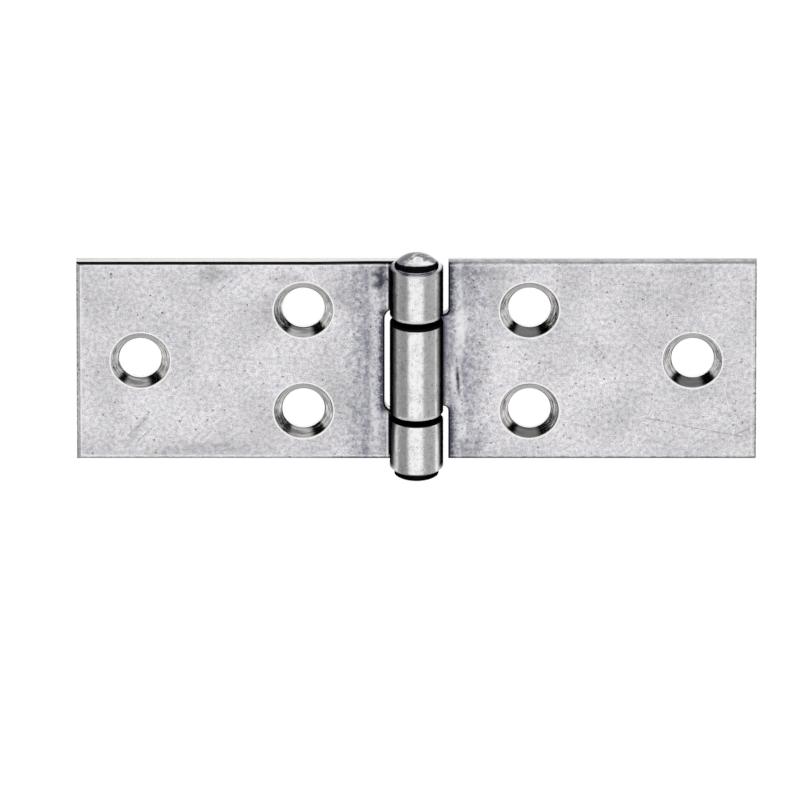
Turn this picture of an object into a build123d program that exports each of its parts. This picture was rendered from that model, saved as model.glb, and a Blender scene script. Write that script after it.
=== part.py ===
"""Drop leaf table hinge: two rolled steel leaves that turn on a riveted pin.

The hinge lies open and flat on its back.  X runs across the two leaves, Y runs along the
pin and Z points up, out of the countersunk side.  The origin lies under the middle of the
pin, on the plane of the backs.  All sizes are in millimetres.

Both leaves are drawn to the left of the pin, each as one rolled strip that is then
notched, chamfered and drilled.  The leaf with one knuckle is then mirrored to the right.
"""
from build123d import *
import os
from math import acos, asin, degrees, radians, tan

# Leaves
open_width = 80.0  # tip to tip, opened flat
leaf_length = 25.0  # along the pin
sheet = 1.5  # thickness of the steel
edge_break = 0.2  # chamfer on the long edges of the sheet

# Barrel: outer knuckle, middle knuckle, outer knuckle
middle_knuckle = 11.65  # length along the pin
knuckle_gap = 0.675  # between neighbouring knuckles
end_spread = 0.25  # rolling spreads each barrel end past the leaf's side
spread_run = 3.0  # length of sheet over which that spread grows
seam_gap = 0.05  # between the end of the roll and the leaf's front

# Notches that the other leaf's knuckles turn in
notch_clearance = 0.6  # from the barrel to the notch's wall
wide_notch_corner = 1.2  # inner corner radius of the notch between two knuckles
side_notch_corner = 0.6  # the same beside the middle knuckle

# Pin, with one head made on it and the other riveted over
pin_diameter = 3.2
pin_clearance = 0.05  # radial, between pin and knuckle
head_diameter = 5.2
made_height = 1.6  # of the head that the pin comes with, at its -Y end
made_rim = 0.78  # straight edge under that head's dome
riveted_height = 1.5  # of the head that is formed over the barrel's +Y end
riveted_rim = 0.17

# Countersunk screw holes
hole_diameter = 5.0
sink_diameter = 6.9
sink_angle = 90.0
rim_break = 0.05  # chamfer on the rim of each countersink
pair_offset = 13.3  # from the pin to the pair of holes
pair_spacing = 12.8
single_inset = 7.5  # from the leaf's tip to the single hole

straight = 0.99  # how much of an edge's direction lies along an axis it follows

# Sizes that follow
half_width = open_width / 2
half_length = leaf_length / 2
pin_radius = pin_diameter / 2
bore_radius = pin_radius + pin_clearance
barrel_radius = bore_radius + sheet
barrel_half = half_length + end_spread
middle_half = middle_knuckle / 2
outer_start = middle_half + knuckle_gap
notch_wall = barrel_radius + notch_clearance
roll_end = sheet + seam_gap
wrap_angle = 360 - degrees(acos(1 - roll_end / barrel_radius))
between = sheet + seam_gap / 2  # height that parts the flat sheet from the roll above it
past = barrel_radius  # how far a cutter runs past what it cuts


def rolled_strip():
    """One leaf before it is notched: a flat sheet whose edge is rolled back to its front."""
    axis = (0, barrel_radius)
    with BuildSketch(Plane.XZ) as section:
        with BuildLine():
            outside = CenterArc(axis, barrel_radius, -90, wrap_angle)
            inside = CenterArc(axis, bore_radius, -90, wrap_angle)
            Line(outside @ 1, inside @ 1)
            Polyline(outside @ 0, (-half_width, 0), (-half_width, sheet), inside @ 0)
        make_face()
    return extrude(section.sketch, barrel_half, both=True)


def side_trims():
    """Waste beside the flat sheet, with the S-curve by which it widens into the roll."""
    bend = (spread_run**2 + end_spread**2) / (4 * end_spread)
    turn = degrees(acos(1 - end_spread / (2 * bend)))
    tip = -half_width - past
    outer = barrel_half + past
    with BuildSketch() as outline:
        with BuildLine():
            leaving = JernArc((-spread_run, half_length), (1, 0), bend, turn)
            joining = JernArc(leaving @ 1, leaving % 1, bend, -turn)
            far_end = [(tip, half_length), (tip, outer), (0, outer)]
            Polyline(leaving @ 0, *far_end, joining @ 1)
        make_face()
    trim = extrude(Pos(0, 0, -past) * outline.sketch, past + between)
    return [trim, mirror(trim, Plane.XZ)]


def notch(start, length, corner_radius):
    """Room for the other leaf's knuckle, from start along +Y, with rounded inner corners."""
    reach = notch_wall + barrel_radius + past
    outline = Rectangle(reach, length, align=(Align.MIN, Align.MIN))
    inner_corners = outline.vertices().group_by(Axis.X)[0]
    outline = Pos(-notch_wall, start) * fillet(inner_corners, corner_radius)
    through = extrude(Pos(0, 0, -past) * outline, 2 * barrel_radius + 2 * past)
    roll_cut = Pos(-notch_wall, start, between) * Box(
        reach, length, 2 * barrel_radius, align=(Align.MIN, Align.MIN, Align.MIN)
    )
    return through + roll_cut


def wide_notch():
    """The notch between the two outer knuckles."""
    return [notch(-outer_start, 2 * outer_start, wide_notch_corner)]


def side_notches():
    """The notches on both sides of the middle knuckle, open to the sides of the leaf."""
    opening = notch(middle_half, barrel_half + past - middle_half, side_notch_corner)
    return [opening, mirror(opening, Plane.XZ)]


def outline_edges(blank):
    """The long edges of both faces of the sheet, flat and rolled, but not the roll's end."""
    on_roll = -barrel_radius - notch_clearance / 2

    def is_outline(edge):
        if edge.geom_type != GeomType.LINE:
            return True
        direction = edge.tangent_at(0)
        across_sheet = abs(direction.Z) > 1 - straight
        along_roll = abs(direction.Y) > straight and edge.center().X > on_roll
        return not across_sheet and not along_roll

    return blank.edges().filter_by(is_outline)


def screw_holes():
    """Cutters for the pair of countersunk holes by the barrel and the single one by the tip."""
    slope = tan(radians(sink_angle / 2))
    sink_depth = (sink_diameter - hole_diameter) / 2 / slope
    cone_height = sink_depth + sheet
    bore = Cylinder(hole_diameter / 2, 2 * (sheet + past))
    cone = Pos(0, 0, sheet - sink_depth) * Cone(
        hole_diameter / 2,
        hole_diameter / 2 + cone_height * slope,
        cone_height,
        align=(Align.CENTER, Align.CENTER, Align.MIN),
    )
    places = [
        (-pair_offset, pair_spacing / 2),
        (-pair_offset, -pair_spacing / 2),
        (single_inset - half_width, 0),
    ]
    return [Pos(x, y, 0) * (bore + cone) for x, y in places]


def sink_rims(drilled):
    """The edges between the countersinks and the front of the leaf."""
    return drilled.edges().filter_by(
        lambda edge: edge.geom_type == GeomType.CIRCLE
        and abs(edge.radius - sink_diameter / 2) < rim_break
        and abs(edge.arc_center.Z - sheet) < rim_break
    )


def leaf(notches):
    """A finished leaf to the left of the pin, with the given notches."""
    blank = rolled_strip() - side_trims() - notches
    chamfered = chamfer(outline_edges(blank), edge_break)
    drilled = chamfered - screw_holes()
    return chamfer(sink_rims(drilled), rim_break)


def half_pin(head_height, head_rim):
    """The pin from its middle to its +Y end, with a head there: a rim and a shallow dome."""
    head_radius = head_diameter / 2
    dome = head_height - head_rim
    dome_radius = (head_radius**2 + dome**2) / (2 * dome)
    dome_angle = degrees(asin(head_radius / dome_radius))
    dome_centre = barrel_half + head_height - dome_radius
    with BuildSketch() as half:
        with BuildLine():
            cap = CenterArc((0, dome_centre), dome_radius, 90 - dome_angle, dome_angle)
            Polyline(
                cap @ 0,
                (head_radius, barrel_half),
                (pin_radius, barrel_half),
                (pin_radius, 0),
                (0, 0),
                cap @ 1,
            )
        make_face()
    return revolve(half.sketch, Axis.Y)


def rivet_pin():
    """The pin along Y: its thick made head at one end of the barrel, a domed one at the other."""
    riveted = half_pin(riveted_height, riveted_rim)
    made = mirror(half_pin(made_height, made_rim), Plane.XZ)
    return Pos(0, 0, barrel_radius) * (riveted + made)


parts = {
    "two_knuckle_leaf": leaf(wide_notch()),
    "one_knuckle_leaf": mirror(leaf(side_notches()), Plane.YZ),
    "rivet_pin": rivet_pin(),
}

os.makedirs("parts", exist_ok=True)
for name, shape in parts.items():
    export_step(shape, f"parts/{name}.step")
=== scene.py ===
"""Finishes, studio and camera for the drop leaf table hinge.

Sizes are in millimetres unless a name says otherwise, in the frame's own axes: X runs across
the two leaves, Y along the pin, and Z up, out of the countersunk side.
"""
import math

import bpy
from mathutils import Matrix, Vector

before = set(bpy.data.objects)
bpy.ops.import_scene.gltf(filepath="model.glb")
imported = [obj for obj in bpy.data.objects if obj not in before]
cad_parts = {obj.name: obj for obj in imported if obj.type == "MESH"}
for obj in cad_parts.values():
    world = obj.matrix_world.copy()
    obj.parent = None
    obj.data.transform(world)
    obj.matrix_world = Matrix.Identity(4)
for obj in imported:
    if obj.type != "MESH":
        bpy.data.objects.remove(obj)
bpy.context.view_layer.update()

scene = bpy.context.scene
scene.view_settings.view_transform = "Standard"

MM = 0.001
PER_METRE = 1000.0

# The hinge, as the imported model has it
LEAF_FRONT = 1.5
LEAF_SIDE = 12.5
LEAF_TIP = 40.0
BARREL_RADIUS = 3.15
BARREL_END = 12.75
BORE_RADIUS = 1.65
EDGE_BREAK = 0.2
PAIR_HOLE = (13.3, 6.4, 0.0)  # on one leaf, the others by symmetry
TIP_HOLE = (32.5, 0.0, 0.0)
HOLE_RADIUS = 2.5
SINK_RADIUS = 3.475  # out to the front of the leaf, with the rim's chamfer
FRONT_PLANE = LEAF_FRONT - 0.01  # all that lies above it is the front or the barrel
CHAMFER_FOOT = LEAF_FRONT - EDGE_BREAK


class Bench:
    """Lays nodes into one tree and wires each to what feeds it."""

    def __init__(self, tree):
        self.tree = tree

    def feed(self, socket, source):
        if isinstance(source, bpy.types.NodeSocket):
            self.tree.links.new(source, socket)
        else:
            socket.default_value = source

    def lay(self, kind, feeds=None, **settings):
        node = self.tree.nodes.new(kind)
        for name, value in settings.items():
            setattr(node, name, value)
        for name, source in (feeds or {}).items():
            self.feed(node.inputs[name], source)
        return node

    def use(self, group, **feeds):
        """Places a shared effect. An underscore stands for the space in an input's name."""
        node = self.lay("ShaderNodeGroup", node_tree=group)
        for name, source in feeds.items():
            self.feed(node.inputs[name.replace("_", " ")], source)
        return node.outputs[0]

    def math(self, operation, *terms, clamp=False):
        node = self.lay("ShaderNodeMath", operation=operation, use_clamp=clamp)
        for socket, term in zip(node.inputs, terms):
            self.feed(socket, term)
        return node.outputs["Value"]

    def chain(self, operation, values):
        result = values[0]
        for value in values[1:]:
            result = self.math(operation, result, value)
        return result

    def product(self, *values):
        return self.chain("MULTIPLY", values)

    def total(self, *values):
        return self.chain("ADD", values)

    def most(self, *values):
        return self.chain("MAXIMUM", values)

    def least(self, *values):
        return self.chain("MINIMUM", values)

    def inverse(self, share):
        return self.math("SUBTRACT", 1.0, share)

    def vector(self, operation, *terms):
        node = self.lay("ShaderNodeVectorMath", operation=operation)
        for socket, term in zip(node.inputs, terms):
            self.feed(socket, term)
        measured = operation in ("DISTANCE", "LENGTH", "DOT_PRODUCT")
        return node.outputs["Value" if measured else "Vector"]

    def scale(self, vector, factor):
        feeds = {"Vector": vector, "Scale": factor}
        return self.lay("ShaderNodeVectorMath", feeds, operation="SCALE").outputs["Vector"]

    def split(self, vector):
        node = self.lay("ShaderNodeSeparateXYZ", {"Vector": vector})
        return [node.outputs[axis] for axis in "XYZ"]

    def join(self, x, y, z):
        return self.lay("ShaderNodeCombineXYZ", {"X": x, "Y": y, "Z": z}).outputs["Vector"]

    def ramp(self, value, start, end, low=0.0, high=1.0):
        """Goes smoothly from low to high as the value goes from start to end."""
        node = self.lay(
            "ShaderNodeMapRange",
            {"Value": value, "From Min": start, "From Max": end, "To Min": low, "To Max": high},
            interpolation_type="SMOOTHSTEP",
        )
        return node.outputs["Result"]

    def band(self, value, start, end, edge):
        """One between start and end, fading to nought over edge outside them."""
        rising = self.ramp(value, start - edge, start)
        falling = self.ramp(value, end, end + edge, 1.0, 0.0)
        return self.math("MULTIPLY", rising, falling)

    def between(self, share, under, over):
        """The number that goes from under to over as share goes from nought to one."""
        node = self.lay("ShaderNodeMix", data_type="FLOAT")
        for socket, source in zip((node.inputs[0], *node.inputs[2:4]), (share, under, over)):
            self.feed(socket, source)
        return node.outputs[0]

    def cover(self, share, under, over):
        """The colour under, covered by the colour over as far as share says."""
        node = self.lay("ShaderNodeMix", data_type="RGBA")
        for socket, source in zip((node.inputs[0], *node.inputs[6:8]), (share, under, over)):
            self.feed(socket, (*source, 1.0) if isinstance(source, tuple) else source)
        return node.outputs[2]

    def noise(self, vector, scale, detail=2.0):
        feeds = {"Vector": vector, "Scale": scale, "Detail": detail}
        return self.lay("ShaderNodeTexNoise", feeds).outputs["Fac"]


class Effect(Bench):
    """The inside of a node group that gives one mask or value from its named inputs."""

    def __init__(self, name, output, **inputs):
        super().__init__(bpy.data.node_groups.new(name, "ShaderNodeTree"))
        sockets = self.tree.interface
        for label, value in inputs.items():
            kind = "NodeSocketVector" if isinstance(value, tuple) else "NodeSocketFloat"
            socket = sockets.new_socket(
                label.replace("_", " "), in_out="INPUT", socket_type=kind
            )
            socket.default_value = value
        sockets.new_socket(output, in_out="OUTPUT", socket_type="NodeSocketFloat")
        self.given = self.tree.nodes.new("NodeGroupInput").outputs
        self.result = self.tree.nodes.new("NodeGroupOutput").inputs[0]

    def finish(self, source):
        self.feed(self.result, source)
        return self.tree


HERE = (0.0, 0.0, 0.0)


def steel_grain():
    """Fine and coarser mottling of rolled steel, from about -1 to 1."""
    e = Effect("steel_grain", "Grain", Place=HERE, Fine_Size=0.2, Coarse_Size=0.6)
    place = e.given["Place"]
    fine = e.noise(place, e.math("DIVIDE", 1.0, e.given["Fine Size"]), 1.0)
    coarse = e.noise(place, e.math("DIVIDE", 1.0, e.given["Coarse Size"]), 2.0)
    both = e.math("MULTIPLY_ADD", fine, 3.7, e.math("MULTIPLY", coarse, 3.1))
    return e.finish(e.math("SUBTRACT", both, 3.4))


def pits():
    """Small round pits at random places, of random sizes, in a share of the cells."""
    e = Effect("pits", "Pit", Place=HERE, Spacing=1.2, Radius=0.16, Share=0.3)
    scale = e.math("DIVIDE", 1.0, e.given["Spacing"])
    cells = e.lay("ShaderNodeTexVoronoi", {"Vector": e.given["Place"], "Scale": scale})
    apart = e.math("MULTIPLY", cells.outputs["Distance"], e.given["Spacing"])
    chance = e.split(cells.outputs["Color"])[0]
    size = e.ramp(chance, 0.0, e.given["Share"], 1.0, 0.0)
    radius = e.math("MULTIPLY", size, e.given["Radius"])
    outer = e.math("ADD", radius, 0.04)
    dot = e.ramp(apart, e.math("MULTIPLY", radius, 0.4), outer, 1.0, 0.0)
    return e.finish(e.math("MULTIPLY", dot, e.ramp(size, 0.0, 0.3)))


def smudge():
    """A soft patch with a ragged edge round Centre, of Half Size once Turn is taken off."""
    e = Effect(
        "smudge", "Smudge", Place=HERE, Centre=HERE, Half_Size=(1.0, 1.0, 1.0), Turn=0.0
    )
    x, y, _ = e.split(e.vector("SUBTRACT", e.given["Place"], e.given["Centre"]))
    turned = e.lay(
        "ShaderNodeVectorRotate",
        {"Vector": e.join(x, y, 0.0), "Angle": e.given["Turn"]},
        rotation_type="Z_AXIS",
    )
    shrunk = e.vector("DIVIDE", turned.outputs["Vector"], e.given["Half Size"])
    ragged = e.noise(e.given["Place"], 1.4, 3.0)
    edge = e.math("MULTIPLY_ADD", ragged, 1.4, e.vector("LENGTH", shrunk))
    return e.finish(e.ramp(edge, 1.75, 0.8))


def scratch():
    """A thin straight scratch from Start to End, broken here and there."""
    e = Effect("scratch", "Scratch", Place=HERE, Start=HERE, End=(1.0, 0.0, 0.0), Width=0.16)
    run = e.vector("SUBTRACT", e.given["End"], e.given["Start"])
    away = e.vector("SUBTRACT", e.given["Place"], e.given["Start"])
    along = e.math(
        "DIVIDE",
        e.vector("DOT_PRODUCT", away, run),
        e.vector("DOT_PRODUCT", run, run),
        clamp=True,
    )
    apart = e.vector("DISTANCE", away, e.scale(run, along))
    line = e.ramp(apart, 0.0, e.given["Width"], 1.0, 0.0)
    broken = e.ramp(e.noise(e.given["Place"], 1.6, 2.0), 0.36, 0.54)
    return e.finish(e.math("MULTIPLY", line, broken))


def edge_highlight():
    """A painted highlight line beside an edge. Inset is how far the place is from that edge."""
    e = Effect("edge_highlight", "Highlight", Place=HERE, Inset=0.0, Start=0.2, Width=0.15)
    end = e.math("ADD", e.given["Start"], e.given["Width"])
    inside = e.math("GREATER_THAN", e.given["Inset"], e.given["Start"])
    outside = e.ramp(e.given["Inset"], e.given["Start"], end, 1.0, 0.0)
    uneven = e.ramp(e.noise(e.given["Place"], 1.1, 3.0), 0.3, 0.62, 0.3, 1.0)
    return e.finish(e.product(inside, outside, uneven))


GRAIN = steel_grain()
PITS = pits()
SMUDGE = smudge()
SCRATCH = scratch()
EDGE_HIGHLIGHT = edge_highlight()


# Dull black for painted shade and painted dark reflections, and its roughness
SHADE_BLACK = (0.006, 0.006, 0.008)
SHADE_ROUGHNESS = 0.45
UNTINTED = (1.0, 1.0, 1.0)


class Finish(Bench):
    """A metal material: its colour, roughness and height are laid over the whole piece."""

    def __init__(self, name):
        self.material = bpy.data.materials.new(name)
        self.material.use_nodes = True
        super().__init__(self.material.node_tree)
        self.shader = self.tree.nodes["Principled BSDF"]
        self.shader.inputs["Metallic"].default_value = 1.0
        where = self.lay("ShaderNodeTexCoord")
        self.place = self.scale(where.outputs["Object"], PER_METRE)
        self.x, self.y, self.z = self.split(self.place)
        self.across = self.math("ABSOLUTE", self.x)
        self.along = self.math("ABSOLUTE", self.y)
        self.facing = self.split(where.outputs["Normal"])

    def finish(self, colour, roughness, height, painted_shade):
        """The steel's last layer is dull black painted shade and dark reflection, as far as the
        given share says.
        """
        self.feed(self.shader.inputs["Base Color"], self.cover(painted_shade, colour, SHADE_BLACK))
        self.feed(self.shader.inputs["Specular Tint"], self.cover(painted_shade, UNTINTED, SHADE_BLACK))
        self.feed(self.shader.inputs["Roughness"], self.between(painted_shade, roughness, SHADE_ROUGHNESS))
        bump = self.lay("ShaderNodeBump", {"Height": height, "Distance": MM})
        self.feed(self.shader.inputs["Normal"], bump.outputs["Normal"])
        return self.material


# Marks on the fronts of the leaves: centre X and Y, half sizes, turn in degrees, depth
SMUDGES = [
    (-24.2, 10.8, 2.6, 1.3, 10, 0.30),
    (-32.9, -8.8, 3.2, 0.8, 55, 0.24),
    (-26.0, -11.2, 8.0, 1.3, 3, 0.24),
    (-15.4, 10.5, 3.2, 1.2, 0, 0.24),
    (-17.6, 6.0, 1.0, 3.0, 0, 0.14),
    (-8.6, 8.0, 2.2, 3.2, 25, 0.18),
    (-6.0, 2.5, 1.6, 3.5, -12, 0.12),
    (-9.5, -4.5, 2.5, 4.0, 30, 0.10),
    (-31.5, 3.5, 4.0, 1.3, 20, 0.06),
    (-4.25, 10.3, 1.3, 2.6, 0, 1.0),
    (9.2, 8.0, 1.4, 3.0, 12, 0.16),
    (8.2, 11.1, 5.5, 1.5, -4, 0.28),
    (8.0, -2.0, 1.3, 4.2, -8, 0.14),
    (10.6, -7.5, 2.6, 2.8, 35, 0.12),
    (4.87, -2.3, 0.32, 3.0, 3, 1.0),
    (31.0, 11.4, 8.0, 0.45, 0, 0.12),
    (21.8, 1.0, 1.4, 2.2, 15, 0.08),
    (30.0, -10.0, 3.0, 1.2, 0, 0.07),
]
# Painted highlights beside the barrel on the right leaf, with the same columns
HIGHLIGHT_PATCHES = [
    (5.35, 4.4, 1.0, 4.2, 0, 0.70),
    (4.3, -2.2, 0.5, 2.8, 0, 0.6),
    (5.4, -8.9, 0.9, 1.7, 0, 0.7),
]
# X, Y and radius of the pits that are large enough to notice
LARGE_PITS = [
    (-35.9, 11.0, 0.22), (-31.3, 8.3, 0.16), (-29.9, 6.1, 0.19), (-35.1, 6.8, 0.15),
    (-32.8, 5.8, 0.13), (-35.5, -5.3, 0.15), (-36.9, -6.9, 0.14), (-27.9, -7.7, 0.16),
    (-26.0, -8.8, 0.17), (-30.9, -10.1, 0.15), (-26.6, -1.3, 0.15), (-22.6, -6.3, 0.15),
    (-19.9, 7.1, 0.15), (-18.4, -0.3, 0.16), (-6.6, 7.4, 0.17), (-5.4, 4.3, 0.18),
    (6.7, 10.2, 0.18), (9.7, 6.4, 0.17), (7.4, 2.3, 0.16), (8.5, 0.5, 0.15),
    (10.8, 1.7, 0.16), (14.5, -0.3, 0.16), (14.4, -0.8, 0.12), (11.8, -3.2, 0.17),
    (8.7, -4.2, 0.16), (8.8, -10.5, 0.16), (22.4, 8.7, 0.17), (24.3, 9.7, 0.13),
    (26.6, 7.8, 0.16), (29.5, 5.8, 0.17), (30.6, 4.1, 0.13), (22.0, 0.4, 0.15),
    (22.1, -2.3, 0.15), (37.3, -8.2, 0.15), (30.2, -8.5, 0.14), (35.6, 8.1, 0.14),
]
# X and Y at both ends of each straight stretch
SCRATCHES = [
    ((26.9, -7.3), (30.8, -8.1)),
    ((30.8, -8.1), (32.8, -8.6)),
    ((32.8, -8.6), (37.5, -9.5)),
    ((37.5, -9.5), (39.2, -9.9)),
    ((37.5, -9.4), (39.2, -8.7)),
    ((-34.0, -9.6), (-31.9, -7.5)),
    ((-33.0, -10.4), (-31.2, -8.6)),
    ((-23.2, 8.9), (-21.6, 10.3)),
]

# Light sheet, also painted beside the barrel as highlights
LIGHT_SHEET_AND_HIGHLIGHT = (0.91, 0.89, 0.905)
DARK_SHEET = (0.53, 0.515, 0.535)
COOL_SHEET = (0.62, 0.64, 0.73)
BLUED_SHEET = (0.19, 0.20, 0.27)
# Dark for smudges, for the darker sheet by the notches, and for painted shade beside the barrel
DIRT_AND_SHADE_SHEET = (0.06, 0.065, 0.09)
# Bright for worn rims and lips, and for painted highlights
WEAR_AND_HIGHLIGHT = (0.94, 0.935, 0.94)
SHEARED_EDGE = (0.80, 0.79, 0.78)
TORN_EDGE = (0.36, 0.36, 0.37)
PIT_FLOOR = (0.10, 0.10, 0.13)
TURNED_SINK = (0.64, 0.63, 0.62)
# Dark for turning marks, and for painted shade in the countersinks
DARK_TURNING_AND_SHADE = (0.28, 0.275, 0.27)
# A painted dark reflection in the countersinks
SINK_DARK_REFLECTION = (0.15, 0.15, 0.15)
# A painted highlight on the countersinks' sides
SINK_HIGHLIGHT = (0.97, 0.96, 0.95)
BORE = (0.9, 0.9, 0.89)
KNUCKLE_END = (0.74, 0.75, 0.80)
# A painted dark reflection on the rounded edges at the barrel's ends
END_DARK_REFLECTION = (0.38, 0.38, 0.41)
POLISHED_BARREL = (0.90, 0.90, 0.905)
DULL_BARREL = (0.55, 0.55, 0.55)

# Roughness, in pairs from one end of what varies it to the other
SHEET_ROUGHNESS = (0.42, 0.30)
SINK_ROUGHNESS = 0.13
BARREL_ROUGHNESS = (0.2, 0.3)
LIP_ROUGHNESS = 0.6
HEAD_ROUGHNESS = (0.16, 0.3)

# Relief, in millimetres
GRAIN_RELIEF = 0.0010
PIT_DEPTH = 0.02
SCRATCH_DEPTH = 0.006
RING_RELIEF = 0.05
DRAWN_RELIEF = 0.009
DENT_RELIEF = 0.06
TOOL_MARK_RELIEF = 0.02
SPECK_DEPTH = 0.01

# Marks by the barrel: how far from the pin's line each begins, and is full or ends
BLUED_FROM = (11.5, 4.5)
CLEANED_FROM = (5.6, 4.6)
# Where the sheet grows darker beside the notches, in two steps
FIRST_STEP_FROM = (5.6, 3.9)
SECOND_STEP_FROM = (4.8, 3.8)
# Painted shade, and a painted line of shade
SHADED_FROM = (3.6, 3.1)
SHADE_LINE = (3.36, 3.28)
# A painted highlight strip and a painted glint
HIGHLIGHT_STRIP = (5.3, 5.7)
GLINT_STRIP = (3.37, 3.5)

# Stretches along the pin: painted shade between the knuckles, their lips beside it, the outer
# lips
SHADED_GAPS = [(5.55, 6.40), (-6.62, -5.86)]
GAP_LIPS = [(6.42, 6.86), (-5.82, -5.45)]
OUTER_LIP = (12.36, 12.52)


def patches(f, flat, marks):
    """Soft patches from a list of marks, as one mask."""
    covered = 0.0
    for centre_x, centre_y, half_x, half_y, turn, depth in marks:
        patch = f.use(
            SMUDGE,
            Place=flat,
            Centre=(centre_x, centre_y, 0.0),
            Half_Size=(half_x, half_y, 1.0),
            Turn=-math.radians(turn),
        )
        covered = f.math("MULTIPLY_ADD", patch, depth, covered)
    return covered


def leaf_marks(f):
    """Smudges, painted highlight patches, large pits and scratches of the leaf fronts, as four
    masks.
    """
    flat = f.join(f.x, f.y, 0.0)
    smudged = patches(f, flat, SMUDGES)
    painted_highlights = patches(f, flat, HIGHLIGHT_PATCHES)
    pitted = 0.0
    for centre_x, centre_y, radius in LARGE_PITS:
        apart = f.vector("DISTANCE", flat, (centre_x, centre_y, 0.0))
        pitted = f.math("MAXIMUM", f.ramp(apart, radius * 0.3, radius, 1.0, 0.0), pitted)
    scratched = 0.0
    for start, end in SCRATCHES:
        line = f.use(SCRATCH, Place=flat, Start=(*start, 0.0), End=(*end, 0.0))
        scratched = f.math("MAXIMUM", line, scratched)
    return smudged, painted_highlights, pitted, scratched


def from_nearest_hole(f):
    """How far a point is from the axis of the screw hole nearest to it."""
    on_one_leaf = f.join(f.across, f.along, 0.0)
    return f.least(
        f.vector("DISTANCE", on_one_leaf, PAIR_HOLE), f.vector("DISTANCE", on_one_leaf, TIP_HOLE)
    )


def sheet_colour(f, grain, mottle, streaks, right):
    """Speckled grey sheet, blued and mottled towards the barrel, with painted highlights and
    shade beside it.
    """
    colour = f.cover(f.ramp(grain, -1.2, 1.2), DARK_SHEET, LIGHT_SHEET_AND_HIGHLIGHT)
    clouds = f.noise(f.place, 0.15, 3.0)
    colour = f.scale(colour, f.ramp(clouds, 0.25, 0.75, 0.84, 1.12))
    tint = f.ramp(f.noise(f.place, 1.0, 4.0), 0.42, 0.62, 0.0, 0.2)
    colour = f.cover(tint, colour, COOL_SHEET)
    near = f.ramp(f.across, *BLUED_FROM)
    fleck = f.noise(f.place, 3.8, 3.0)
    blued = f.total(
        f.math("MULTIPLY_ADD", near, 0.85, -0.35),
        f.product(f.ramp(f.across, *CLEANED_FROM), f.inverse(right), -0.22),
        f.math("MULTIPLY", mottle, 1.4),
        f.math("MULTIPLY", streaks, 0.9),
        f.math("MULTIPLY", fleck, 0.5),
    )
    colour = f.cover(f.ramp(blued, 1.25, 2.3, 0.0, 0.85), colour, BLUED_SHEET)
    specks = f.product(f.ramp(fleck, 0.54, 0.66), f.math("MULTIPLY", near, 0.6))
    colour = f.cover(specks, colour, BLUED_SHEET)
    colour = lit_and_shaded_by_barrel(f, colour, mottle, streaks, right)
    return darkened_by_notches(f, colour, mottle, fleck, right)


def lit_and_shaded_by_barrel(f, colour, mottle, streaks, right):
    """A painted highlight strip beside the barrel, then at its foot a painted glint and a painted
    line of shade on the left leaf, and painted shade on the right.
    """
    left = f.inverse(right)
    wavering = f.math("MULTIPLY_ADD", streaks, 1.2, f.across)
    # A painted highlight strip beside the barrel
    painted_highlight = f.product(f.band(wavering, *HIGHLIGHT_STRIP, 0.7), f.ramp(mottle, 0.4, 0.6, 0.1, 0.7))
    colour = f.cover(painted_highlight, colour, LIGHT_SHEET_AND_HIGHLIGHT)
    glint = f.product(f.band(f.across, *GLINT_STRIP, 0.08), left, 0.9)
    colour = f.cover(glint, colour, LIGHT_SHEET_AND_HIGHLIGHT)
    shaded = f.product(f.ramp(f.across, *SHADED_FROM, 0.0, 0.9), right)
    colour = f.cover(shaded, colour, DIRT_AND_SHADE_SHEET)
    # A painted black line of shade at the barrel's foot, on the left leaf
    return f.cover(f.product(f.ramp(f.across, *SHADE_LINE), left), colour, SHADE_BLACK)


def darkened_by_notches(f, colour, mottle, fleck, right):
    """Darker, in two steps, where the edge of a leaf faces the other leaf's knuckles across a
    notch.
    """
    left_notch = f.ramp(f.along, 7.0, 6.0)
    right_notches = f.ramp(f.along, 5.4, 6.4)
    beside = f.between(right, left_notch, right_notches)
    blotches = f.math("MULTIPLY_ADD", mottle, 0.7, f.math("MULTIPLY", fleck, 1.5))
    first_step = f.math("ADD", f.ramp(f.across, *FIRST_STEP_FROM), blotches)
    first_share = f.product(f.ramp(first_step, 1.25, 2.35, 0.0, 0.8), beside)
    colour = f.cover(first_share, colour, BLUED_SHEET)
    second_step = f.math("ADD", f.ramp(f.across, *SECOND_STEP_FROM), blotches)
    second_share = f.product(f.ramp(second_step, 1.3, 2.0, 0.0, 0.92), beside)
    return f.cover(second_share, colour, DIRT_AND_SHADE_SHEET)


def cut_edges(f, colour, uneven, right):
    """The sheet's cut sides, and a painted highlight line inside the outline of the front."""
    front = f.math("GREATER_THAN", f.z, FRONT_PLANE)
    to_side = f.math("SUBTRACT", LEAF_SIDE, f.along)
    to_tip = f.math("SUBTRACT", LEAF_TIP, f.across)
    inset = f.least(to_side, to_tip)
    start = f.between(f.math("LESS_THAN", to_tip, 1.0), 0.3, 0.42)
    painted_highlight = f.use(EDGE_HIGHLIGHT, Place=f.place, Inset=inset, Start=start, Width=0.35)
    bright = f.between(right, 1.0, 0.5)
    colour = f.cover(f.product(painted_highlight, front, bright), colour, WEAR_AND_HIGHLIGHT)
    side = f.ramp(f.math("ABSOLUTE", f.facing[2]), 0.3, 0.2)
    torn = f.product(right, f.ramp(f.z, 0.35, 0.6), f.ramp(uneven, 0.35, 0.6, 1.0, 0.6))
    return f.cover(side, colour, f.cover(torn, SHEARED_EDGE, TORN_EDGE))


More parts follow.
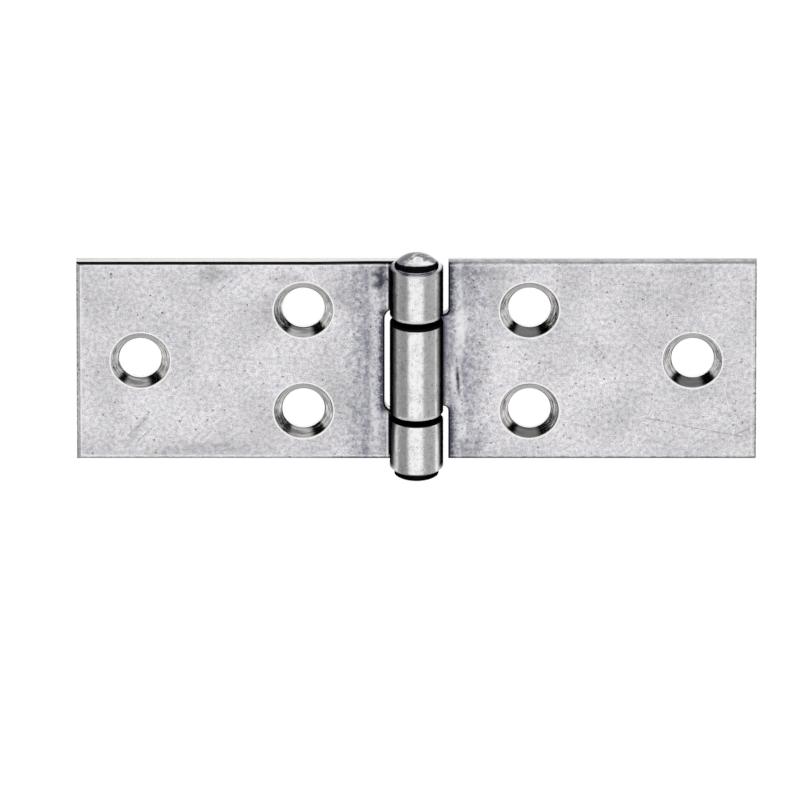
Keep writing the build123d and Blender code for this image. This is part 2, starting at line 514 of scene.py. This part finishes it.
def shaded_chamfers(f, right, from_hole, lower_share):
    """How far painted shade blackens the chamfers round a leaf's front, by the side that they lie
    on.
    """
    sloping = f.product(
        f.band(f.z, CHAMFER_FOOT, LEAF_FRONT - 0.03, 0.02),
        f.math("GREATER_THAN", from_hole, SINK_RADIUS + 0.3),
    )
    side_start = LEAF_SIDE - EDGE_BREAK
    tip_start = LEAF_TIP - EDGE_BREAK
    upper = f.ramp(f.y, side_start - 0.02, side_start)
    lower = f.ramp(f.y, 0.02 - side_start, -side_start)
    tip = f.ramp(f.across, tip_start - 0.02, tip_start)
    dotted = f.ramp(f.noise(f.place, 3.5, 2.0), 0.38, 0.6, 1.0, 0.2)
    share = f.between(upper, 0.93, f.between(right, 0.97, 0.3))
    share = f.between(lower, share, lower_share)
    share = f.between(tip, share, f.math("MULTIPLY", dotted, 0.55))
    above_foot = f.ramp(f.z, CHAMFER_FOOT - 0.02, CHAMFER_FOOT)
    return f.most(f.product(sloping, share), f.product(above_foot, upper, f.inverse(right)))


def shaded_outline(f, uneven, left, lower_share):
    """How far painted shade blackens a line along the outline of a leaf's front."""
    front = f.math("GREATER_THAN", f.z, FRONT_PLANE)
    to_lower_side = f.math("ADD", f.y, LEAF_SIDE)
    to_upper_side = f.math("SUBTRACT", LEAF_SIDE, f.y)
    spotty = f.ramp(uneven, 0.35, 0.6, 0.85, 0.35)
    lower = f.product(f.ramp(to_lower_side, 0.42, 0.3), spotty, lower_share, 0.85)
    outward = f.ramp(f.across, 5.0, 12.0, 0.2, 0.95)
    upper = f.product(f.ramp(to_upper_side, 0.37, 0.28), outward, left)
    tip = f.product(f.ramp(f.across, LEAF_TIP - 0.48, LEAF_TIP - 0.4), left, 0.35)
    return f.product(front, f.most(lower, upper, tip))


def shaded_edges(f, uneven, right, from_hole):
    """How far painted shade blackens the edges round a leaf's front, most of all at its +Y side.
    """
    left = f.inverse(right)
    lower_share = f.between(right, f.ramp(f.across, 13.0, 8.0, 0.4, 0.85), 0.75)
    upper_side = f.math("GREATER_THAN", f.facing[1], 0.9)
    by_barrel = f.ramp(f.across, 13.0, 5.0)
    return f.most(
        shaded_chamfers(f, right, from_hole, lower_share),
        shaded_outline(f, uneven, left, lower_share),
        f.product(f.ramp(f.z, 0.95, 1.2), by_barrel, left, upper_side),
    )


def sink_colour(f, colour, rings, right, from_hole, sunk):
    """Turned countersinks with a dark line at the straight hole, worn rims with a painted
    highlight, and painted shade, highlights and dark reflection on the cones.
    """
    turned = f.cover(f.ramp(rings, 0.62, 0.36), TURNED_SINK, DARK_TURNING_AND_SHADE)
    # Painted shade where the cone faces -Y
    turned = f.cover(f.ramp(f.facing[1], -0.3, -0.6, 0.0, 0.75), turned, DARK_TURNING_AND_SHADE)
    # A painted dark reflection where the cone faces +Y, on the right leaf
    dark_reflection = f.product(f.ramp(f.facing[1], 0.35, 0.6, 0.0, 0.8), right)
    turned = f.cover(dark_reflection, turned, SINK_DARK_REFLECTION)
    sideways = f.math("ABSOLUTE", f.facing[0])
    # A painted highlight where the cone faces along X
    highlighted = f.product(f.ramp(sideways, 0.48, 0.64), f.band(f.facing[1], -0.05, 0.06, 0.2), 0.8)
    turned = f.cover(highlighted, turned, SINK_HIGHLIGHT)
    by_hole = f.band(from_hole, HOLE_RADIUS, HOLE_RADIUS + 0.1, 0.04)
    burr = f.product(by_hole, f.ramp(rings, 0.6, 0.4, 0.2, 0.8))
    turned = f.cover(burr, turned, PIT_FLOOR)
    colour = f.cover(sunk, colour, turned)
    bored = f.math("LESS_THAN", from_hole, HOLE_RADIUS + 0.01)
    colour = f.cover(bored, colour, BORE)
    # The rim is worn bright and painted whiter still as a highlight
    lip = f.band(from_hole, SINK_RADIUS - 0.01, SINK_RADIUS + 0.17, 0.03)
    on_front = f.math("GREATER_THAN", f.z, LEAF_FRONT - 0.1)
    return f.cover(f.product(lip, on_front), colour, WEAR_AND_HIGHLIGHT)


def barrel_colour(f, grain, drawn):
    """The barrel's bright polish, dull patches and dark specks, painted highlights on the
    knuckles' lips, and darker knuckle ends with a painted dark reflection.
    """
    dulled = f.ramp(f.math("MULTIPLY_ADD", grain, 0.3, drawn), 0.35, 1.0)
    rolled = f.cover(dulled, POLISHED_BARREL, DULL_BARREL)
    specks = f.use(PITS, Place=f.place, Spacing=0.6, Radius=0.13, Share=0.6)
    rolled = f.cover(f.math("MULTIPLY", specks, 0.5), rolled, PIT_FLOOR)
    # Painted highlights on the knuckles' lips
    rolled = f.cover(knuckle_lips(f), rolled, WEAR_AND_HIGHLIGHT)
    from_axis = f.vector("LENGTH", f.join(f.x, 0.0, f.math("SUBTRACT", f.z, BARREL_RADIUS)))
    upper = f.ramp(f.z, 1.6, 3.0)
    ring_start = BARREL_END - EDGE_BREAK
    face_radius = BARREL_RADIUS - EDGE_BREAK
    along_ring = f.ramp(f.along, ring_start - 0.01, ring_start + 0.05)
    round_ring = f.ramp(from_axis, face_radius - 0.05, face_radius + 0.01)
    # A painted dark reflection on the rounded edge at each end
    rolled = f.cover(f.product(along_ring, round_ring, upper), rolled, END_DARK_REFLECTION)
    at_end = f.ramp(f.along, BARREL_END - 0.05, BARREL_END - 0.01)
    in_face = f.ramp(from_axis, face_radius + 0.01, face_radius - 0.05)
    return f.cover(f.product(at_end, in_face, upper), rolled, KNUCKLE_END)


def knuckle_lips(f):
    """The burred lips of the knuckles, over the gaps between them and at the barrel's end, where
    a highlight is painted.
    """
    over_gaps = [f.band(f.y, *lip, 0.12) for lip in GAP_LIPS]
    at_end = f.product(f.band(f.y, *OUTER_LIP, 0.04), f.ramp(f.across, 1.4, 0.9))
    return f.most(*over_gaps, at_end)


def barrel_shade(f, uneven):
    """A painted dark reflection, black, on the barrel's flanks, and painted shade in the gaps
    between its knuckles.
    """
    thinning = f.ramp(f.y, -6.0, -8.0, 0.0, 0.2)
    ragged = f.math("MULTIPLY", uneven, 0.16)
    left = f.math("SUBTRACT", f.math("SUBTRACT", ragged, f.x), thinning)
    right = f.math("MULTIPLY_ADD", thinning, -0.3, f.math("ADD", f.x, ragged))
    left_shade = f.least(f.ramp(left, 2.03, 2.83), f.ramp(left, 2.7, 2.93, 0.86, 1.0))
    flank_shade = f.most(left_shade, f.ramp(right, 2.33, 2.95))
    fading = f.ramp(f.y, -12.7, -11.8, 0.35, 1.0)
    spared = f.most(f.ramp(f.y, 12.66, 12.56), f.ramp(f.x, -2.2, -2.6, 0.0, 0.5))
    flank = f.product(flank_shade, f.ramp(f.z, 1.9, 2.6), fading, spared)
    in_gaps = [f.band(f.y, *gap, 0.03) for gap in SHADED_GAPS]
    return f.most(flank, *in_gaps)


def leaf_roughness(f, grain, drawn, sunk, barrel):
    """A dull sheet, smooth countersinks, and a barrel that is smooth but for its lips."""
    flat = f.between(sunk, f.ramp(grain, -1.0, 1.0, *SHEET_ROUGHNESS), SINK_ROUGHNESS)
    rolled = f.ramp(drawn, 0.4, 0.8, *BARREL_ROUGHNESS)
    rolled = f.between(knuckle_lips(f), rolled, LIP_ROUGHNESS)
    return f.between(barrel, flat, rolled)


def leaf_finish():
    """Rolled steel of a leaf: flat sheet, countersinks and the barrel with its high polish."""
    f = Finish("rolled_leaf_steel")
    from_hole = from_nearest_hole(f)
    right = f.math("GREATER_THAN", f.x, 0.0)
    barrel = f.product(
        f.ramp(f.across, BARREL_RADIUS + 0.1, BARREL_RADIUS + 0.02),
        f.math("GREATER_THAN", f.z, LEAF_FRONT + 0.02),
    )
    sunk = f.product(
        f.math("LESS_THAN", from_hole, SINK_RADIUS - 0.02), f.math("GREATER_THAN", f.z, 0.01)
    )
    grain = f.use(GRAIN, Place=f.place, Fine_Size=0.15, Coarse_Size=0.5)
    mottle = f.noise(f.place, 1.3, 4.0)
    streaks = f.noise(f.vector("MULTIPLY", f.place, (1.5, 0.3, 1.0)), 1.0, 3.0)
    drawn = f.noise(f.vector("MULTIPLY", f.place, (1.6, 0.6, 1.6)), 1.0, 4.0)
    x_turn, y_turn = f.math("MULTIPLY", f.x, 0.4), f.math("MULTIPLY", f.y, 0.4)
    rings = f.noise(f.join(x_turn, y_turn, f.math("MULTIPLY", from_hole, 4.5)), 1.0, 2.0)
    smudged, painted_highlights, large_pits, scratched = leaf_marks(f)
    small_pits = f.use(PITS, Place=f.place, Spacing=0.75, Radius=0.15, Share=0.75)
    pitted = f.most(f.math("MULTIPLY", small_pits, 0.65), f.math("MULTIPLY", large_pits, 0.9))

    colour = sheet_colour(f, grain, mottle, streaks, right)
    # Painted highlights beside the barrel
    colour = f.cover(painted_highlights, colour, WEAR_AND_HIGHLIGHT)
    colour = f.cover(smudged, colour, DIRT_AND_SHADE_SHEET)
    colour = f.cover(f.math("MULTIPLY", scratched, 0.8), colour, TORN_EDGE)
    colour = f.cover(pitted, colour, PIT_FLOOR)
    colour = cut_edges(f, colour, mottle, right)
    colour = sink_colour(f, colour, rings, right, from_hole, sunk)
    colour = f.cover(barrel, colour, barrel_colour(f, grain, drawn))
    # Painted shade on the leaves' edges, and on the barrel painted dark reflection and shade
    edge_shade = shaded_edges(f, mottle, right, from_hole)
    painted_shade = f.between(barrel, edge_shade, barrel_shade(f, mottle))

    roughness = leaf_roughness(f, grain, drawn, sunk, barrel)
    height = f.total(
        f.math("MULTIPLY", grain, GRAIN_RELIEF),
        f.math("MULTIPLY", pitted, -PIT_DEPTH),
        f.math("MULTIPLY", scratched, -SCRATCH_DEPTH),
        f.product(rings, sunk, RING_RELIEF),
        f.product(drawn, barrel, DRAWN_RELIEF),
    )
    return f.finish(colour, roughness, height, painted_shade)


HEAD_STEEL = (0.72, 0.72, 0.71)
# Dark for hammer marks and struck dents, and for painted shade low on the heads
HEAD_MARK_AND_SHADE = (0.16, 0.16, 0.18)
# On the riveted head, seen along the pin: X and the height over the pin's axis, of a painted
# highlight ring and of struck dents
HIGHLIGHT_RING = (0.2, 0.0, 1.3)
STRUCK_DENTS = [(-1.35, 0.0, 0.75), (-0.6, 0.0, 0.95)]


def head_marks(f, up, from_axis):
    """Painted highlights on the riveted head, a ring and an arc over its foot, and where it was
    struck dark.
    """
    end_on = f.join(f.x, 0.0, up)
    from_ring = f.vector("DISTANCE", end_on, HIGHLIGHT_RING)
    ring = f.product(f.band(from_ring, 0.42, 0.52, 0.12), f.ramp(f.y, 12.8, 13.4), 0.75)
    foot = f.product(
        f.band(from_axis, 1.78, 1.98, 0.2), f.ramp(up, 0.9, 1.5), f.ramp(f.x, -1.6, -0.6), 0.8
    )
    from_dent = f.least(*[f.vector("DISTANCE", end_on, dent) for dent in STRUCK_DENTS])
    return f.most(ring, foot), f.ramp(from_dent, 0.34, 0.12, 0.0, 0.85)


def head_colour(f, up, from_axis, tool_marks, specks):
    """Bright steel dulled by hammering, darker towards -X and, as painted shade, low on the
    heads, with painted highlights.
    """
    grain = f.use(GRAIN, Place=f.place, Fine_Size=0.15, Coarse_Size=0.6)
    dulled = f.total(
        f.math("MULTIPLY_ADD", tool_marks, 1.3, -0.2),
        f.math("MULTIPLY", grain, 0.1),
        # Painted shade, more of it lower on the heads
        f.ramp(up, 1.4, 0.5, -0.14, 0.2),
        f.ramp(f.x, -0.3, -1.8, 0.0, 0.42),
        f.ramp(f.x, 1.4, 2.4, 0.0, 0.12),
    )
    colour = f.cover(f.ramp(dulled, 0.3, 0.75), HEAD_STEEL, HEAD_MARK_AND_SHADE)
    colour = f.cover(f.math("MULTIPLY", specks, 0.5), colour, PIT_FLOOR)
    highlighted, struck = head_marks(f, up, from_axis)
    # Painted highlights
    colour = f.cover(highlighted, colour, WEAR_AND_HIGHLIGHT)
    return f.cover(struck, colour, HEAD_MARK_AND_SHADE)


def pin_finish():
    """Steel of the pin: hammered bright heads, with painted shade, black, round their foot and
    over the shank.
    """
    f = Finish("headed_pin_steel")
    up = f.math("SUBTRACT", f.z, BARREL_RADIUS)
    from_axis = f.vector("LENGTH", f.join(f.x, 0.0, up))
    dents = f.noise(f.place, 1.1, 3.0)
    tool_marks = f.noise(f.join(f.total(f.x, up), f.math("MULTIPLY", up, 0.3), f.y), 2.0, 3.0)
    specks = f.use(PITS, Place=f.place, Spacing=0.7, Radius=0.12, Share=0.4)
    rim = f.product(f.ramp(f.y, BARREL_END + 0.07, BARREL_END + 0.03), f.ramp(up, 1.0, 2.2))
    colour = f.cover(rim, head_colour(f, up, from_axis, tool_marks, specks), KNUCKLE_END)

    ragged = f.total(f.math("MULTIPLY", dents, 0.3), from_axis, f.math("MULTIPLY", up, 0.14))
    # Painted shade round the foot of the heads, on their upper part
    foot = f.product(f.ramp(ragged, 2.45, 2.55), f.ramp(up, -1.2, -0.4), f.inverse(rim))
    # Painted shade round the rim of the formed head at -Y
    made_rim = f.product(f.ramp(f.y, 1.0 - BARREL_END, -BARREL_END), f.ramp(from_axis, 2.3, 2.5))
    # Painted shade over the shank, which shows between the knuckles
    shank = f.math("LESS_THAN", f.along, BARREL_END - 0.01)
    roughness = f.ramp(dents, 0.3, 0.7, *HEAD_ROUGHNESS)
    height = f.total(
        f.math("MULTIPLY", dents, DENT_RELIEF),
        f.math("MULTIPLY", tool_marks, TOOL_MARK_RELIEF),
        f.math("MULTIPLY", specks, -SPECK_DEPTH),
    )
    return f.finish(colour, roughness, height, f.most(foot, shank, made_rim))


HOLE_MARGIN = 0.2
BORE_MARGIN = 0.1
SAME_CORNER = 0.001  # corners of the mesh that lie closer than this are one


def outside_bores(place):
    """Whether a corner of the mesh is clear of the screw holes and of the pin's bore."""
    x, y, z = (part / MM for part in place)
    on_one_leaf = Vector((abs(x), abs(y), 0.0))
    holes = (Vector(PAIR_HOLE), Vector(TIP_HOLE))
    clear = all((on_one_leaf - hole).length > SINK_RADIUS + HOLE_MARGIN for hole in holes)
    return clear and math.hypot(x, z - BARREL_RADIUS) > BORE_RADIUS + BORE_MARGIN


def soften_edges(piece):
    """Lets light run round the outer chamfers, as it does round real worn edges."""
    outer = piece.vertex_groups.new(name="outer_edges")
    chosen = [v.index for v in piece.data.vertices if outside_bores(v.co)]
    outer.add(chosen, 1.0, "REPLACE")
    joined = piece.modifiers.new("joined", "WELD")
    joined.merge_threshold = SAME_CORNER * MM
    joined.vertex_group = outer.name
    softened = piece.modifiers.new("softened", "WEIGHTED_NORMAL")
    softened.mode = "FACE_AREA_WITH_ANGLE"
    softened.vertex_group = outer.name


# Studio and camera

PHOTO_TILT = 22.5  # degrees between the camera's line and straight down
PHOTO_CENTRE = (-1.94, -5.63, 0.0)  # what the middle of the picture shows
PHOTO_WIDTH = 94.26  # what the picture spans across the hinge
LENS = 1200.0  # so long that the picture has no perspective to speak of
SENSOR = 36.0

SOFTBOX_ACROSS = (-0.58, 0.42)  # of its height over the hinge
SOFTBOX_ALONG = (-1.2, 0.75)
SOFTBOX_EDGE = 0.3
SOFTBOX_LIGHT = 1.0
LEFT_ROOM_LIGHT = 0.3
RIGHT_ROOM_LIGHT = 0.42
SIDE_CARD_LIGHT = 1.0
DARK_WALL_LIGHT = 0.0
DOOR_LIGHT = 0.7  # in the middle of the dark wall
TABLE_LIGHT = 1.0
# Where each begins and is full: sides by the turn towards +Y, tops by the rise, from 0 to 1
CARD_SIDE = (-0.33, -0.2)
CARD_TOP = (0.45, 0.3)
WALL_SIDE = (0.32, 0.44)
WALL_TOP = (0.66, 0.60)
DOOR_SIDE = (0.80, 0.97)
TABLE_EDGE = (-0.05, 0.03)  # from the table's light to the room's


def studio_world():
    """White below, a softbox overhead, a grey room, side cards, and a dark wall at +Y."""
    world = bpy.data.worlds.new("studio")
    scene.world = world
    world.use_nodes = True
    world.node_tree.nodes.clear()
    b = Bench(world.node_tree)
    x, y, z = b.split(b.lay("ShaderNodeTexCoord").outputs["Generated"])
    height = b.math("MAXIMUM", z, 0.05)
    across = b.band(b.math("DIVIDE", x, height), *SOFTBOX_ACROSS, SOFTBOX_EDGE)
    along = b.band(b.math("DIVIDE", y, height), *SOFTBOX_ALONG, SOFTBOX_EDGE)
    softbox = b.math("MULTIPLY", across, along)
    sideways = b.vector("LENGTH", b.join(x, y, 0.0))
    towards_wall = b.math("DIVIDE", y, b.math("MAXIMUM", sideways, 0.01))
    room = b.ramp(x, -0.8, 0.8, LEFT_ROOM_LIGHT, RIGHT_ROOM_LIGHT)
    card = b.product(b.ramp(towards_wall, *CARD_SIDE), b.ramp(z, *CARD_TOP))
    room = b.between(card, room, SIDE_CARD_LIGHT)
    wall = b.product(b.ramp(towards_wall, *WALL_SIDE), b.ramp(z, *WALL_TOP))
    towards_door = b.math("ADD", towards_wall, b.ramp(x, -0.3, 0.3, 0.0, 0.16))
    wall_light = b.ramp(towards_door, *DOOR_SIDE, DARK_WALL_LIGHT, DOOR_LIGHT)
    room = b.between(wall, room, wall_light)
    above = b.between(softbox, room, SOFTBOX_LIGHT)
    light = b.between(b.ramp(z, *TABLE_EDGE), TABLE_LIGHT, above)
    background = b.lay("ShaderNodeBackground", {"Color": light})
    b.lay("ShaderNodeOutputWorld", {"Surface": background.outputs["Background"]})


SWING_DEPTH = math.hypot(LEAF_TIP, BARREL_RADIUS) - BARREL_RADIUS  # of the hanging leaf
FLOOR_DEPTH = SWING_DEPTH + 0.2
FLOOR_HALF = 2.0  # metres from its middle to its sides
FLOOR_SHARE = 0.4  # how much of the white below is the floor's own
FLOOR_COLOUR = (0.9, 0.9, 0.9, 1.0)
FLOOR_GLOW = 0.5  # so that the floor looks as white as the photo's background
WHITE = (1.0, 1.0, 1.0, 1.0)


def floor():
    """A wide frosted white sheet, low enough for the leaf to hang over it, clear from below."""
    mesh = bpy.data.meshes.new("floor")
    corners = [(-1, -1), (1, -1), (1, 1), (-1, 1)]
    places = [(x * FLOOR_HALF, y * FLOOR_HALF, -FLOOR_DEPTH * MM) for x, y in corners]
    mesh.from_pydata(places, [], [(0, 1, 2, 3)])
    sheet = bpy.data.objects.new("floor", mesh)
    scene.collection.objects.link(sheet)
    paint = bpy.data.materials.new("frosted_white")
    paint.use_nodes = True
    b = Bench(paint.node_tree)
    shader = b.tree.nodes["Principled BSDF"]
    shader.inputs["Base Color"].default_value = FLOOR_COLOUR
    shader.inputs["Roughness"].default_value = 1.0
    shader.inputs["Specular IOR Level"].default_value = 0.0
    shader.inputs["Emission Color"].default_value = WHITE
    path = b.lay("ShaderNodeLightPath").outputs
    seen = b.most(path["Is Camera Ray"], path["Is Glossy Ray"], path["Is Transmission Ray"])
    b.feed(shader.inputs["Emission Strength"], b.math("MULTIPLY", seen, FLOOR_GLOW))
    back = b.lay("ShaderNodeNewGeometry").outputs["Backfacing"]
    share = b.math("MULTIPLY_ADD", back, -FLOOR_SHARE, FLOOR_SHARE)
    clear = b.lay("ShaderNodeBsdfTransparent")
    mixed = b.lay("ShaderNodeMixShader")
    for socket, source in zip(
        mixed.inputs, (share, clear.outputs["BSDF"], shader.outputs["BSDF"])
    ):
        b.feed(socket, source)
    out = b.tree.nodes["Material Output"]
    b.feed(out.inputs["Surface"], mixed.outputs["Shader"])
    mesh.materials.append(paint)


def photo_camera():
    """Looks down on the hinge from its +Y end, with +Y upward in the picture."""
    tilt = math.radians(PHOTO_TILT)
    right = Vector((1, 0, 0))
    towards = Vector((0, math.sin(tilt), math.cos(tilt)))
    upward = towards.cross(right)
    distance = PHOTO_WIDTH * MM * LENS / SENSOR
    place = Vector(PHOTO_CENTRE) * MM + towards * distance
    data = bpy.data.cameras.new("photo_camera")
    data.lens = LENS
    data.sensor_width = SENSOR
    data.clip_start = distance / 10
    data.clip_end = distance * 10
    camera = bpy.data.objects.new("photo_camera", data)
    turn = Matrix((right, upward, towards)).transposed().to_4x4()
    camera.matrix_world = Matrix.Translation(place) @ turn
    scene.collection.objects.link(camera)
    scene.camera = camera


photo_camera()
studio_world()
floor()
leaf_steel = leaf_finish()
pin_steel = pin_finish()
finishes = {
    "two_knuckle_leaf": leaf_steel,
    "one_knuckle_leaf": leaf_steel,
    "rivet_pin": pin_steel,
}
for name, steel in finishes.items():
    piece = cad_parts[name]
    piece.material_slots[0].material = steel
    soften_edges(piece)
